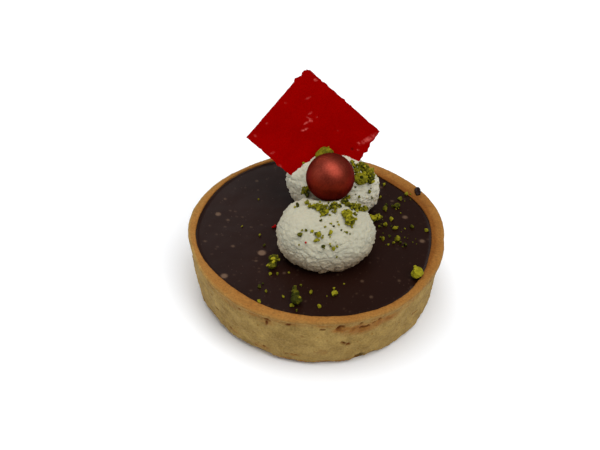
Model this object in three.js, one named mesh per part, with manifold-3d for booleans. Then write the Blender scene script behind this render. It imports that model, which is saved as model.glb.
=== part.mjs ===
// A chocolate tartlet with chopped pistachio: a shortcrust shell filled with dark ganache, two dollops of
// whipped cream one behind the other, a chocolate pearl in the dip between them, a thin red plaque standing
// in the back dollop, and the larger crumbs of pistachio.
// Millimetres, +Z up. The origin is the middle of the shell's flat underside, and -Y is the front.
import * as THREE from 'three';
import { mergeVertices } from 'three/addons/utils/BufferGeometryUtils.js';
import Module from 'manifold-3d';

const wasm = await Module();
wasm.setup();

// The shell, baked in a plain ring 80 mm across and 20 mm deep, and lined by hand a little over its edge.
const RIM_RADIUS = 40.15;
const SHELL_HEIGHT = 21.2;
const FOOT_RADIUS = 37.1;
const RIM_WIDTH = 3.15; // on average: see the well's waves
const RIM_OVERHANG = 0.5;
const RIM_LIP = 1.5; // height of the lip that stands out over the wall
const WALL_THICKNESS = 2.8;
const FLOOR_THICKNESS = 3;
const FOOT_ROUNDING = 1.3;
const RIM_ROUNDING = 0.5;
const WALL_TOP_RADIUS = RIM_RADIUS - RIM_OVERHANG;
const WELL_RADIUS = RIM_RADIUS - RIM_WIDTH; // inside the rim, where the filling shows

// The filling.
const GANACHE_TOP = 20.5;
const MENISCUS = 0.2; // how far the ganache climbs at the wall
const MENISCUS_REACH = 0.8;

// How far the shell strays from a true circle: cycles round the ring, size, and the bearing of one crest.
// A bearing is in degrees from +X, turning towards +Y.
const RIM_WAVES = [
  { cycles: 1, size: 0.2, crest: -162 },
  { cycles: 2, size: 0.1, crest: 8 },
  { cycles: 3, size: 0.2, crest: 34 },
  { cycles: 4, size: 0.15, crest: 28 },
  { cycles: 5, size: 0.2, crest: 26 },
];
// The inside of the rim, which the thumb left thick on the right and pressed thin at the back left.
const WELL_WAVES = [
  { cycles: 1, size: 0.9, crest: -177 },
  { cycles: 2, size: 1.1, crest: -52 },
  { cycles: 3, size: 0.1, crest: 69 },
  { cycles: 4, size: 0.35, crest: 19 },
  { cycles: 5, size: 0.15, crest: 27 },
  { cycles: 6, size: 0.25, crest: 16 },
];
const FOOT_WAVES = [
  { cycles: 1, size: 0.2, crest: 19 },
  { cycles: 2, size: 0.2, crest: -8 },
  { cycles: 3, size: 0.25, crest: 40 },
  { cycles: 4, size: 0.25, crest: 0 },
];
const CREST_WAVES = [
  { cycles: 3, size: 0.15, crest: 100 },
  { cycles: 7, size: 0.1, crest: 12 },
];
// Where the dough tore at the foot when the ring came off.
const NOTCH = { bearing: -66, reach: 6, depth: 1.2, height: 4 };
// Where the outside is pressed in or, with a negative depth, stands out.
const DENTS = [
  { bearing: -17, reach: 22, depth: 0.5, height: 9.5, rise: 9 },
  { bearing: -41, reach: 9, depth: 0.45, height: 9, rise: 5 },
  { bearing: -31, reach: 7, depth: 0.3, height: 20, rise: 4 },
  { bearing: -19, reach: 12, depth: -0.35, height: 21, rise: 6 },
  { bearing: -162, reach: 17, depth: 0.6, height: 21, rise: 14 },
];

// The cream: the middle of each dollop, its half width, half depth and half height, how square it is, the
// heading of its width in degrees from +X, and where its ripples start.
const CREAM_FRONT = {
  centre: [2.7, -8, 27.1], half: [14.75, 13.1, 9.9], squareness: 2.2, heading: 12, ripple: 0.7,
};
const CREAM_BACK = {
  centre: [4.3, 14.5, 28.2], half: [15.1, 12, 12.4], squareness: 1.9, heading: -15.6, ripple: 2.9,
};
const CREAM_RIPPLE = 0.02; // share of the dollop's size
const CRUMB_ROUGHNESS = 0.16; // share of a crumb's size

const PEARL_RADIUS = 7.4;
const PEARL_CENTRE = [3.3, 3.1, 39.9];
const SEAT = { depth: 3.9, reach: 9 }; // how far the pearl presses the cream down, and how far round it

// The plaque, a cut square with one corner up and one side cut a little askew.
const PLAQUE = { width: 30, height: 28.6, thickness: 1.1, askew: 3.6, ragged: 0.08 };
const PLAQUE_CENTRE = [-2.6, 17.2, 45.1];
const PLAQUE_LEAN = 28; // degrees back from upright
const PLAQUE_TURN = -38.8; // degrees in its own plane

// Clear space between pieces that touch.
const GAP = 0.3;

// Steps of the turned and rounded shapes.
const RING_STEPS = 72;
const DOLLOP_STEPS = 40;
const PEARL_STEPS = 28;
const PLAQUE_EDGE_STEPS = 8;

const { degToRad, radToDeg, clamp, lerp, smoothstep, euclideanModulo } = THREE.MathUtils;
const UP = new THREE.Vector3(0, 0, 1);

const MATERIALS = {
  shortcrust: new THREE.MeshStandardMaterial({ color: 0xb98f52, roughness: 0.85, metalness: 0 }),
  ganache: new THREE.MeshStandardMaterial({ color: 0x2c1a15, roughness: 0.45, metalness: 0 }),
  cream: new THREE.MeshStandardMaterial({ color: 0xe4e2d6, roughness: 0.7, metalness: 0 }),
  pearl: new THREE.MeshStandardMaterial({ color: 0x7c2f28, roughness: 0.4, metalness: 0.6 }),
  plaque: new THREE.MeshStandardMaterial({ color: 0xa80806, roughness: 0.6, metalness: 0 }),
  pistachio: new THREE.MeshStandardMaterial({ color: 0x7d8420, roughness: 0.8, metalness: 0 }),
};

// A closed geometry as a solid that can be cut and joined.
function solidOf(geometry) {
  const plain = geometry.clone();
  plain.deleteAttribute('normal');
  plain.deleteAttribute('uv');
  const merged = mergeVertices(plain, 1e-3);
  return new wasm.Manifold(new wasm.Mesh({
    numProp: 3,
    vertProperties: merged.attributes.position.array,
    triVerts: new Uint32Array(merged.index.array),
  }));
}

function geometryOf(solid) {
  const { vertProperties, triVerts } = solid.getMesh();
  const geometry = new THREE.BufferGeometry();
  geometry.setAttribute('position', new THREE.BufferAttribute(vertProperties, 3));
  geometry.setIndex(new THREE.BufferAttribute(triVerts, 1));
  geometry.computeVertexNormals();
  return geometry;
}

function named(name, material, geometry) {
  const mesh = new THREE.Mesh(geometry, MATERIALS[material]);
  mesh.name = name;
  return mesh;
}

// Moves every point of a geometry by a function that changes the point it is given.
function reshape(geometry, move) {
  const position = geometry.getAttribute('position');
  const point = new THREE.Vector3();
  for (let i = 0; i < position.count; i++) {
    point.fromBufferAttribute(position, i);
    move(point);
    position.setXYZ(i, point.x, point.y, point.z);
  }
  return geometry;
}

// The sum of a list of waves at one bearing.
function wander(waves, bearing) {
  return waves.reduce((sum, w) => sum + w.size * Math.cos(degToRad(w.cycles * (bearing - w.crest))), 0);
}

// One at no distance, falling smoothly to nothing at the reach.
function fade(distance, reach) {
  const share = Math.min(Math.abs(distance) / reach, 1);
  return (1 - share * share) ** 2;
}

function between(bearing, other) {
  return euclideanModulo(bearing - other + 180, 360) - 180;
}

// Pushes a point of a true round shell to where the hand-lined shell has it: in and out, torn at the foot and
// up and down along the crest of the rim, which leaves the filling level.
function unevenShell(point) {
  const radius = Math.hypot(point.x, point.y);
  const bearing = radToDeg(Math.atan2(point.y, point.x));
  const up = point.z / SHELL_HEIGHT;
  const outer = lerp(FOOT_RADIUS, RIM_RADIUS, up);
  const inward = clamp((outer - radius - RIM_ROUNDING) / (RIM_WIDTH - RIM_ROUNDING), 0, 1);
  const atRim = wander(RIM_WAVES, bearing) / RIM_RADIUS;
  const atTop = lerp(atRim, wander(WELL_WAVES, bearing) / WELL_RADIUS, inward);
  const stray = lerp(wander(FOOT_WAVES, bearing) / FOOT_RADIUS, atTop, up);
  const torn = NOTCH.depth * fade(between(bearing, NOTCH.bearing), NOTCH.reach) * fade(point.z, NOTCH.height);
  let pressedIn = 0;
  for (const dent of DENTS) {
    const beside = fade(between(bearing, dent.bearing), dent.reach);
    pressedIn += dent.depth * beside * fade(point.z - dent.height, dent.rise);
  }
  const nearOutside = smoothstep(radius, outer - WALL_THICKNESS, outer - WALL_THICKNESS / 2);
  const share = 1 + stray - (nearOutside * (torn + pressedIn)) / outer;
  point.x *= share;
  point.y *= share;
  const inRim = smoothstep(radius, WELL_RADIUS - GAP, WELL_RADIUS) * smoothstep(up, 0.8, 1);
  point.z += inRim * wander(CREST_WAVES, bearing);
}

// A closed solid turned from [radius, height] points that start and end on the axis, lowest first.
function turned(profile) {
  const points = profile.map(([radius, height]) => new THREE.Vector2(radius, height));
  const geometry = new THREE.LatheGeometry(points, RING_STEPS);
  geometry.rotateX(Math.PI / 2);
  return solidOf(reshape(geometry, unevenShell));
}

function makeCrust() {
  const lip = SHELL_HEIGHT - RIM_LIP;
  return turned([
    [0, 0],
    [FOOT_RADIUS - FOOT_ROUNDING, 0],
    [FOOT_RADIUS, FOOT_ROUNDING],
    [lerp(FOOT_RADIUS, WALL_TOP_RADIUS, 0.3), SHELL_HEIGHT * 0.25],
    [lerp(FOOT_RADIUS, WALL_TOP_RADIUS, 0.6), SHELL_HEIGHT * 0.5],
    [lerp(FOOT_RADIUS, WALL_TOP_RADIUS, 0.85), SHELL_HEIGHT * 0.75],
    [WALL_TOP_RADIUS, lip],
    [RIM_RADIUS, lip + RIM_LIP * 0.3],
    [RIM_RADIUS, SHELL_HEIGHT - RIM_ROUNDING],
    [RIM_RADIUS - RIM_ROUNDING * 0.3, SHELL_HEIGHT - RIM_ROUNDING * 0.3],
    [RIM_RADIUS - RIM_ROUNDING, SHELL_HEIGHT],
    [WELL_RADIUS + RIM_ROUNDING * 0.5, SHELL_HEIGHT],
    [WELL_RADIUS, SHELL_HEIGHT - RIM_ROUNDING * 0.5],
    [WELL_RADIUS, lip],
    [FOOT_RADIUS - WALL_THICKNESS, FLOOR_THICKNESS],
    [0, FLOOR_THICKNESS],
  ]);
}

function makeGanache() {
  return turned([
    [0, FLOOR_THICKNESS + GAP],
    [FOOT_RADIUS - WALL_THICKNESS - GAP, FLOOR_THICKNESS + GAP],
    [WELL_RADIUS - GAP, SHELL_HEIGHT - RIM_LIP],
    [WELL_RADIUS - GAP, GANACHE_TOP + MENISCUS],
    [WELL_RADIUS - GAP - MENISCUS_REACH, GANACHE_TOP],
    [0, GANACHE_TOP],
  ]);
}

// How far the pearl presses the cream down at a place across the tart.
function pressed(x, y) {
  return SEAT.depth * fade(Math.hypot(x - PEARL_CENTRE[0], y - PEARL_CENTRE[1]), SEAT.reach);
}

// A dollop: a soft, slightly square ball with broad ripples, flat where it sits on the ganache.
function makeDollop(dollop, grow = 0) {
  const sit = GANACHE_TOP + GAP - grow;
  const half = dollop.half.map((size) => size + grow);
  const ball = new THREE.SphereGeometry(1, DOLLOP_STEPS, DOLLOP_STEPS / 2);
  ball.rotateX(Math.PI / 2);
  return solidOf(reshape(ball, (point) => {
    const parts = [point.x, point.y, point.z].map((part) => Math.abs(part) ** dollop.squareness);
    const squared = (parts[0] + parts[1] + parts[2]) ** (-1 / dollop.squareness);
    const across = Math.atan2(point.y, point.x);
    const ripple = Math.sin(5 * across + dollop.ripple) * Math.cos(4 * point.z + dollop.ripple);
    const edge = 1 - point.z * point.z;
    point.multiplyScalar(squared * (1 + CREAM_RIPPLE * ripple * edge));
    point.set(half[0] * point.x, half[1] * point.y, half[2] * point.z);
    point.applyAxisAngle(UP, degToRad(dollop.heading));
    point.add(new THREE.Vector3(...dollop.centre));
    point.z = Math.max(point.z - pressed(point.x, point.y), sit);
  }));
}

// The height of a dollop's upper surface over a point.
function dollopTop(dollop, x, y) {
  const place = new THREE.Vector3(x - dollop.centre[0], y - dollop.centre[1], 0);
  place.applyAxisAngle(UP, -degToRad(dollop.heading));
  const across = (Math.abs(place.x) / dollop.half[0]) ** dollop.squareness;
  const along = (Math.abs(place.y) / dollop.half[1]) ** dollop.squareness;
  const left = Math.max(1 - across - along, 0);
  return dollop.centre[2] + dollop.half[2] * left ** (1 / dollop.squareness) - pressed(x, y);
}

function makePearl(grow = 0) {
  const ball = new THREE.SphereGeometry(PEARL_RADIUS + grow, PEARL_STEPS, PEARL_STEPS / 2);
  ball.rotateX(Math.PI / 2);
  ball.translate(...PEARL_CENTRE);
  return solidOf(ball);
}

// The plaque's outline, walked corner to corner with a slightly ragged cut.
function plaqueOutline(grow) {
  const right = PLAQUE.width / 2 + grow;
  const up = PLAQUE.height / 2 + grow;
  const corners = [
    new THREE.Vector2(-right, -up),
    new THREE.Vector2(right + PLAQUE.askew, -up),
    new THREE.Vector2(right, up),
    new THREE.Vector2(-right, up),
  ];
  const outline = [];
  corners.forEach((from, side) => {
    const to = corners[(side + 1) % corners.length];
    const outward = new THREE.Vector2(to.y - from.y, from.x - to.x).normalize();
    for (let step = 0; step < PLAQUE_EDGE_STEPS; step++) {
      const ragged = step ? PLAQUE.ragged * Math.sin(2.3 * step + 1.7 * side) : 0;
      outline.push(from.clone().lerp(to, step / PLAQUE_EDGE_STEPS).addScaledVector(outward, ragged));
    }
  });
  return new THREE.Shape(outline);
}

function plaqueGeometry(grow = 0) {
  const depth = PLAQUE.thickness + 2 * grow;
  const plate = new THREE.ExtrudeGeometry(plaqueOutline(grow), { depth, bevelEnabled: false });
  return plate.translate(0, 0, -depth / 2);
}

function placePlaque(mesh) {
  mesh.rotation.set(degToRad(90 - PLAQUE_LEAN), 0, degToRad(PLAQUE_TURN));
  mesh.position.set(...PLAQUE_CENTRE);
  mesh.updateMatrix();
  return mesh;
}

// A crumb of chopped nut: angular lumps joined in one, each [x, y, z, across] from the crumb's middle.
function makeCrumb(middle, lumps) {
  const solids = lumps.map(([x, y, z, across], lump) => {
    const knob = new THREE.IcosahedronGeometry(1, 1);
    reshape(knob, (point) => {
      const facet = Math.sin(3.1 * point.x + lump) * Math.cos(3.7 * point.y - middle[0]);
      point.multiplyScalar((across / 2) * (1 + CRUMB_ROUGHNESS * (facet + 0.4 * Math.sin(5 * point.z))));
    });
    knob.translate(middle[0] + x, middle[1] + y, middle[2] + z);
    return solidOf(knob);
  });
  return solids.reduce((whole, solid) => whole.add(solid));
}

// The larger crumbs: what each lies on, its place across the tart, how high its middle is over that surface,
// and its lumps.
const CRUMBS = [
  { name: 'pistachio_behind_pearl', on: CREAM_BACK, at: [1.6, 12.1], lift: 1.6,
    lumps: [[-2.5, 0, -0.8, 3.4], [-0.4, 0, 0.6, 3.8], [1.9, 0, -0.1, 3.6], [3.4, 0, -1, 2.8],
      [0, 0, -1.2, 4]] },
  { name: 'pistachio_back_right', on: CREAM_BACK, at: [13.3, 9.8], lift: 0.6,
    lumps: [[-0.6, -2.6, -0.6, 4], [2.3, -0.9, -1.6, 4], [1, 1.4, -0.2, 3.4], [-0.4, 1.8, 0.8, 3.2],
      [-2.4, 0.6, 1.1, 2.4]] },
  { name: 'pistachio_front', on: CREAM_FRONT, at: [9.1, -11.6], lift: 0.6,
    lumps: [[-0.6, 1.1, 0.2, 3.5], [0.4, -1, -0.4, 3.5]] },
  { name: 'pistachio_saddle', on: null, at: [18.8, 5.8], lift: 1.7,
    lumps: [[-1.2, 0, 0, 2.8], [0.3, 0.7, 0.2, 2.1]] },
  { name: 'pistachio_rim', on: null, at: [30.3, -19.1], lift: 2, lumps: [[0, 0, 0, 3.8]] },
  { name: 'pistachio_left', on: null, at: [-13.1, -17], lift: 1.7,
    lumps: [[0.3, 1.7, 0.1, 3.1], [0.1, -1.1, -0.1, 3]] },
  { name: 'pistachio_low_front', on: null, at: [-5.7, -31.4], lift: 1.6,
    lumps: [[-0.2, 3.2, 0, 1.9], [0.1, 1.4, 0.1, 2.5], [0.5, -0.7, 0, 3.2]] },
];

const tartlet = new THREE.Group();
tartlet.name = 'pistachio_tartlet';

const plaque = placePlaque(named('plaque', 'plaque', plaqueGeometry()));
const plaqueSlot = solidOf(plaqueGeometry(GAP).applyMatrix4(plaque.matrix));
const pearlDent = makePearl(GAP);

const creamFront = makeDollop(CREAM_FRONT).subtract(pearlDent);
const creamBack = makeDollop(CREAM_BACK)
  .subtract(makeDollop(CREAM_FRONT, GAP))
  .subtract(pearlDent)
  .subtract(plaqueSlot);

tartlet.add(named('crust', 'shortcrust', geometryOf(makeCrust())));
tartlet.add(named('ganache', 'ganache', geometryOf(makeGanache())));
tartlet.add(named('cream_front', 'cream', geometryOf(creamFront)));
tartlet.add(named('cream_back', 'cream', geometryOf(creamBack)));
tartlet.add(named('pearl', 'pearl', geometryOf(makePearl())));
tartlet.add(plaque);

// A crumb is trimmed clear of everything that it leans on. The one crumb near the shell leans on its rim at
// the front right, so there the shell is taken as a little nearer than it is.
const surroundings = [
  makeCrust().translate([-GAP, GAP / 2, GAP]),
  makeGanache().translate([0, 0, GAP]),
  makeDollop(CREAM_FRONT, GAP),
  makeDollop(CREAM_BACK, GAP),
  pearlDent,
  plaqueSlot,
];
for (const { name, on, at, lift, lumps } of CRUMBS) {
  const surface = on ? dollopTop(on, ...at) : GANACHE_TOP;
  const whole = makeCrumb([...at, surface + lift], lumps);
  const trimmed = surroundings.reduce((solid, other) => solid.subtract(other), whole);
  tartlet.add(named(name, 'pistachio', geometryOf(trimmed)));
}

export default tartlet;
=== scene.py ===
# %% [markdown]
# # A chocolate tartlet with chopped pistachio
# The tartlet is small and hand made: a shortcrust shell of 80 mm, dark ganache, two dollops of whipped
# cream, a dusted chocolate pearl, a thin red plaque and chopped nut. The imported model fixes where everything
# is and how big it is. This script gives each piece its skin: the same shape again, but with dents, pits,
# flakes and crumbs. We load the frame first and keep its box.

# %% Load the frame
import math
import random

import bmesh
import bpy
import numpy as np
from mathutils import Euler, Matrix, Vector, noise
from mathutils.bvhtree import BVHTree


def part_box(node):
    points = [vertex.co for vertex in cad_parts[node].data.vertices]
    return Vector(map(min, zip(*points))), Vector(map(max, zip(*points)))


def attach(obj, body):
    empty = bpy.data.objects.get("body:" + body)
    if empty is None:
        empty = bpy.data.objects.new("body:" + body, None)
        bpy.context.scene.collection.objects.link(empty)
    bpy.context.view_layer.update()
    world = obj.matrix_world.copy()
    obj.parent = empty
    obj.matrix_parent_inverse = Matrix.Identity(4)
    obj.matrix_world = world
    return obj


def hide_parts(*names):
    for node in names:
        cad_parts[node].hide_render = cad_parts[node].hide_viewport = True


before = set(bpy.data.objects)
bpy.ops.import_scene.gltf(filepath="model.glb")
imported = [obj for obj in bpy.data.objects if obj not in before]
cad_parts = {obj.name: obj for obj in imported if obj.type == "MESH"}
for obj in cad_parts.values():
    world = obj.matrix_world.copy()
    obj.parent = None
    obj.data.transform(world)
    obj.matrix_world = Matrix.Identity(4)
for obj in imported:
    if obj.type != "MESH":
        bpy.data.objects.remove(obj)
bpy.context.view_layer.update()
MM = 0.001

# %% [markdown]
# ## Helpers for modelling
# An operator acts on everything that is selected, so each piece starts from an empty selection. In edit mode
# we choose vertices or edges by a test of where they are, as a hand would with the mouse. Modifiers are
# added and applied at once, so that every mesh is final when the next step reads it.

# %% Select by a test, and apply a modifier
def begin(primitive, name, **settings):
    """Adds a primitive on its own, with everything else deselected, and names it."""
    bpy.ops.object.select_all(action="DESELECT")
    primitive(**settings)
    piece = bpy.context.object
    piece.name = name
    piece.data.name = name
    return piece


def pick(piece, kind, test):
    """In edit mode, selects the vertices or edges that pass a test of each and of its middle, in mm."""
    bpy.ops.mesh.select_mode(type=kind)
    bpy.ops.mesh.select_all(action="DESELECT")
    shape = bmesh.from_edit_mesh(piece.data)
    for part in shape.verts if kind == "VERT" else shape.edges:
        corners = [part] if kind == "VERT" else part.verts
        middle = sum((corner.co for corner in corners), Vector()) / len(corners) / MM
        if test(part, middle):
            part.select_set(True)
    bmesh.update_edit_mesh(piece.data)


def shape_by(piece, kind, **settings):
    """Adds a modifier with its settings and applies it."""
    modifier = piece.modifiers.new(kind.lower(), kind)
    for name, value in settings.items():
        setattr(modifier, name, value)
    bpy.context.view_layer.objects.active = piece
    bpy.ops.object.modifier_apply(modifier=modifier.name)


def close_up(piece):
    """Merges doubles, then turns every face outwards."""
    bpy.context.view_layer.objects.active = piece
    bpy.ops.object.mode_set(mode="EDIT")
    bpy.ops.mesh.select_all(action="SELECT")
    bpy.ops.mesh.remove_doubles(threshold=0.001 * MM)
    bpy.ops.mesh.normals_make_consistent(inside=False)
    bpy.ops.object.mode_set(mode="OBJECT")
    piece.data.shade_smooth()


# %% Read, move and label the vertices of a piece
def places(piece):
    """Every vertex as a row of an array, in mm."""
    flat = np.empty(len(piece.data.vertices) * 3)
    piece.data.vertices.foreach_get("co", flat)
    return flat.reshape(-1, 3) / MM


def normals(piece):
    """Every vertex's outward direction as a row of an array."""
    flat = np.empty(len(piece.data.vertices) * 3)
    piece.data.vertices.foreach_get("normal", flat)
    return flat.reshape(-1, 3)


def put_back(piece, rows):
    """Moves every vertex to its row, in mm."""
    piece.data.vertices.foreach_set("co", (rows * MM).ravel())
    piece.data.update()


def label(piece, name, values):
    """Gives every vertex a value that a material can read."""
    layer = piece.data.attributes.new(name, "FLOAT", "POINT")
    layer.data.foreach_set("value", np.clip(values, 0, 1))


def wander(rows, size, shift=0.0):
    """Noise at each row, from about -1 to 1, with features of a size in mm."""
    return np.array([noise.noise(Vector(row) / size + Vector((shift, 0, 0))) for row in rows])


def fall(value, near, far):
    """1 up to near, a smooth slope, and 0 from far on. With near above far it rises instead."""
    share = np.clip((np.asarray(value, float) - far) / (near - far), 0, 1)
    return share * share * (3 - 2 * share)


# %% Relief by a procedural texture
def relief(piece, size, depth, group=""):
    """Pushes a piece's skin, or a group of its vertices, in and out by clouds. Size and depth are in mm."""
    clouds = bpy.data.textures.new("clouds", "CLOUDS")
    clouds.noise_scale = 1
    ruler = bpy.data.objects.new("ruler", None)
    bpy.context.scene.collection.objects.link(ruler)
    ruler.scale = [size * MM] * 3
    bpy.context.view_layer.update()
    shape_by(
        piece, "DISPLACE", texture=clouds, texture_coords="OBJECT", texture_coords_object=ruler,
        strength=depth * MM, mid_level=0.5, vertex_group=group,
    )
    bpy.data.objects.remove(ruler)
    bpy.data.textures.remove(clouds)


def mask(piece, name, weights):
    """A vertex group that holds relief to part of a piece."""
    group = piece.vertex_groups.new(name=name)
    for index in np.flatnonzero(weights > 0.01):
        group.add([int(index)], float(weights[index]), "REPLACE")


# %% [markdown]
# ## Helpers for materials
# Colours are written as the hex values a person would pick on a screen, and one function turns them to the
# linear light that shaders work in. One more function adds a node, sets it and links it, and another closes
# a material with its shader and its fine grain. A pattern's scale always comes from the real size of its
# features.

# %% Colours, nodes and pattern scales
def linear(hex_colour):
    """A screen colour such as #ffffff as linear red, green, blue and alpha."""
    shares = [int(hex_colour[i:i + 2], 16) / 255 for i in (1, 3, 5)]
    return [c / 12.92 if c <= 0.04045 else ((c + 0.055) / 1.055) ** 2.4 for c in shares] + [1.0]


def node(tree, kind, inputs=None, **settings):
    """Adds a node with its settings. Each input gets a value, or a link from an output. A node that is given
    for one stands for its first output in use."""
    made = tree.nodes.new(kind)
    for name, value in settings.items():
        setattr(made, name, value)
    for name, value in (inputs or {}).items():
        if isinstance(value, bpy.types.Node):
            value = next(output for output in value.outputs if output.enabled)
        if isinstance(value, bpy.types.NodeSocket):
            tree.links.new(value, made.inputs[name])
        else:
            made.inputs[name].default_value = value
    return made


def per(size):
    """The scale of a texture whose features are to be this many mm across."""
    return 1 / (size * MM)


def new_material(name):
    """A bare material. Returns it with its node tree and the place on the object."""
    material = bpy.data.materials.new(name)
    material.use_nodes = True
    tree = material.node_tree
    tree.nodes.clear()
    place = node(tree, "ShaderNodeTexCoord").outputs["Object"]
    return material, tree, place


def close_material(material, tree, colour, grain, strength, depth, look):
    """Adds the output, and the shader with its look. The skin rises with the grain, by a depth in mm."""
    bump = node(tree, "ShaderNodeBump", {"Height": grain, "Strength": strength, "Distance": depth * MM})
    shader = node(tree, "ShaderNodeBsdfPrincipled", {"Base Color": colour, "Normal": bump, **look})
    node(tree, "ShaderNodeOutputMaterial", {"Surface": shader})
    return material


def finish_material(piece, material):
    """Gives a piece this one material."""
    piece.data.materials.clear()
    piece.data.materials.append(material)
    print(piece.name, "is finished in", material.name)


# A Mix node keeps its factor and its two colours at these places.
MIX_FACTOR, MIX_A, MIX_B = 0, 6, 7

# %% [markdown]
# ## The shell
# Shortcrust is rolled thin, pressed into a plain steel ring and trimmed level at the top. It could be a
# cylinder with the inside cut out, but a turned profile gives the lip, the flat cut rim and the small
# rounding at the foot in one go, with rows of faces fine enough to carry the sandy crumb. No hand-lined ring
# is truly round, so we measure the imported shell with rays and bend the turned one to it.

# %% Sizes of the shell, in mm
SHELL_HEIGHT = 21.2
RIM_LIP = 1.5
LIP_OVERHANG = 0.5
WALL_THICKNESS = 2.8
FLOOR_THICKNESS = 3.0
RIM_ROUNDING = 0.5
FOOT_ROUNDING = 2.2
FOOT_PROBE, LOW_PROBE, MIDDLE_PROBE, RIM_PROBE = 1.6, 5.5, 10.6, 20.4  # heights of the measurements
PROBES = 72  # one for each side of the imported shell
BENDS = 14  # the most waves round the shell that a bend keeps
print("depth of the fill:", round(SHELL_HEIGHT - FLOOR_THICKNESS, 1), "mm at most")

# %% Measure it with rays
CLEAR_OF_SHELL = 60  # mm from the middle, where a ray starts that comes from outside
crust_surface = BVHTree.FromObject(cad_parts["crust"], bpy.context.evaluated_depsgraph_get())
probe_bearings = [math.tau * (probe + 0.01) / PROBES for probe in range(PROBES)]


def radii_at(height, of_well=False):
    """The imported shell's radius all round at one height, of its outside or of its well."""
    found = []
    for bearing in probe_bearings:
        out = Vector((math.cos(bearing), math.sin(bearing), 0))
        start = out * (0 if of_well else CLEAR_OF_SHELL) + Vector((0, 0, height))
        hit = crust_surface.ray_cast(start * MM, out if of_well else -out)[0]
        found.append(hit.xy.length / MM)
    return np.array(found)


def crest_at(radius):
    """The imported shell's height all round, on a circle."""
    found = []
    for bearing in probe_bearings:
        above = Vector((math.cos(bearing) * radius, math.sin(bearing) * radius, CLEAR_OF_SHELL)) * MM
        found.append(crust_surface.ray_cast(above, Vector((0, 0, -1)))[0].z / MM)
    return np.array(found)


print("rays round each height:", PROBES)

# %% Keep the slow bends
def slow_bends(measures):
    """The slow bends of a ring of measures, as a function of an array of bearings."""
    waves = np.fft.rfft(measures)[:BENDS + 1] / PROBES

    def at(bearings):
        turns = np.exp(1j * np.outer(bearings, np.arange(BENDS + 1)))
        return (turns * waves * 2).real.sum(axis=1) - waves[0].real
    return at


rim_radii, well_radii = radii_at(RIM_PROBE), radii_at(RIM_PROBE, True)
low_radii, middle_radii = radii_at(LOW_PROBE), radii_at(MIDDLE_PROBE)
RIM_RADIUS = float(rim_radii.mean())
WELL_RADIUS = float(well_radii.mean())
FOOT_RADIUS = float(np.median(radii_at(FOOT_PROBE)))
RIM_WIDTH = RIM_RADIUS - WELL_RADIUS
WALL_TOP_RADIUS = RIM_RADIUS - LIP_OVERHANG
rim_bend, well_bend, low_bend, middle_bend = (
    slow_bends(radii / radii.mean() - 1) for radii in (rim_radii, well_radii, low_radii, middle_radii)
)
crest_bend = slow_bends(crest_at(RIM_RADIUS - RIM_WIDTH / 2) - SHELL_HEIGHT)
print(f"rim {RIM_RADIUS:.2f} mm, well {WELL_RADIUS:.2f} mm and foot {FOOT_RADIUS:.2f} mm in radius")


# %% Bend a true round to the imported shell
def bend_to_shell(rows):
    """Moves rows of a true round shape in and out, and up and down at the rim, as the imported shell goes."""
    bearings = np.arctan2(rows[:, 1], rows[:, 0])
    radii = np.hypot(rows[:, 0], rows[:, 1])
    lower_rise = (rows[:, 2] - LOW_PROBE) / (MIDDLE_PROBE - LOW_PROBE)
    upper_rise = np.clip((rows[:, 2] - MIDDLE_PROBE) / (RIM_PROBE - MIDDLE_PROBE), 0, None)
    outer = FOOT_RADIUS + (RIM_RADIUS - FOOT_RADIUS) * rows[:, 2] / SHELL_HEIGHT
    inward = np.clip((outer - radii - RIM_ROUNDING) / (RIM_WIDTH - RIM_ROUNDING), 0, 1)
    top_bend = rim_bend(bearings) * (1 - inward) + well_bend(bearings) * inward
    wall_bend = low_bend(bearings) * (1 - lower_rise) + middle_bend(bearings) * lower_rise
    wall_bend = np.where(lower_rise < 1, wall_bend, middle_bend(bearings))
    stray = wall_bend * (1 - upper_rise) + top_bend * upper_rise
    in_rim = fall(radii, WELL_RADIUS, WELL_RADIUS - 0.3) * fall(rows[:, 2], SHELL_HEIGHT, 0.8 * SHELL_HEIGHT)
    bent = rows.copy()
    bent[:, :2] *= (1 + stray)[:, None]
    bent[:, 2] += in_rim * crest_bend(bearings)
    return bent


# %% Draw, round, divide and turn a line
def draw_line(name, corners):
    """A line through [radius, height] corners, extruded from a single vertex and left in edit mode."""
    line = begin(bpy.ops.mesh.primitive_plane_add, name, size=MM)
    bpy.ops.object.mode_set(mode="EDIT")
    bpy.ops.mesh.select_mode(type="VERT")
    bpy.ops.mesh.merge(type="CENTER")
    radius, height = corners[0]
    bpy.ops.transform.translate(value=(radius * MM, 0, height * MM))
    for next_radius, next_height in corners[1:]:
        step = ((next_radius - radius) * MM, 0, (next_height - height) * MM)
        bpy.ops.mesh.extrude_region_move(TRANSFORM_OT_translate={"value": step})
        radius, height = next_radius, next_height
    return line


def round_corner(line, radius, height, width, segments=4):
    """Bevels the corner that is nearest to a radius and a height."""
    pick(line, "VERT", lambda _, place: math.hypot(place.x - radius, place.z - height) < 0.01)
    bpy.ops.mesh.bevel(offset=width * MM, segments=segments, affect="VERTICES")


def cut_finely(line, spacing, test):
    """Divides the long edges whose middle passes a test into pieces of about one spacing."""
    lengths = sorted({round(edge.calc_length() / MM, 3) for edge in bmesh.from_edit_mesh(line.data).edges})
    for length in (long for long in lengths if long > 1.5 * spacing):
        pick(line, "EDGE", lambda edge, middle: (
            abs(edge.calc_length() / MM - length) < 0.001 and test(middle)
        ))
        bpy.ops.mesh.subdivide(number_cuts=max(round(length / spacing) - 1, 1))


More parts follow.
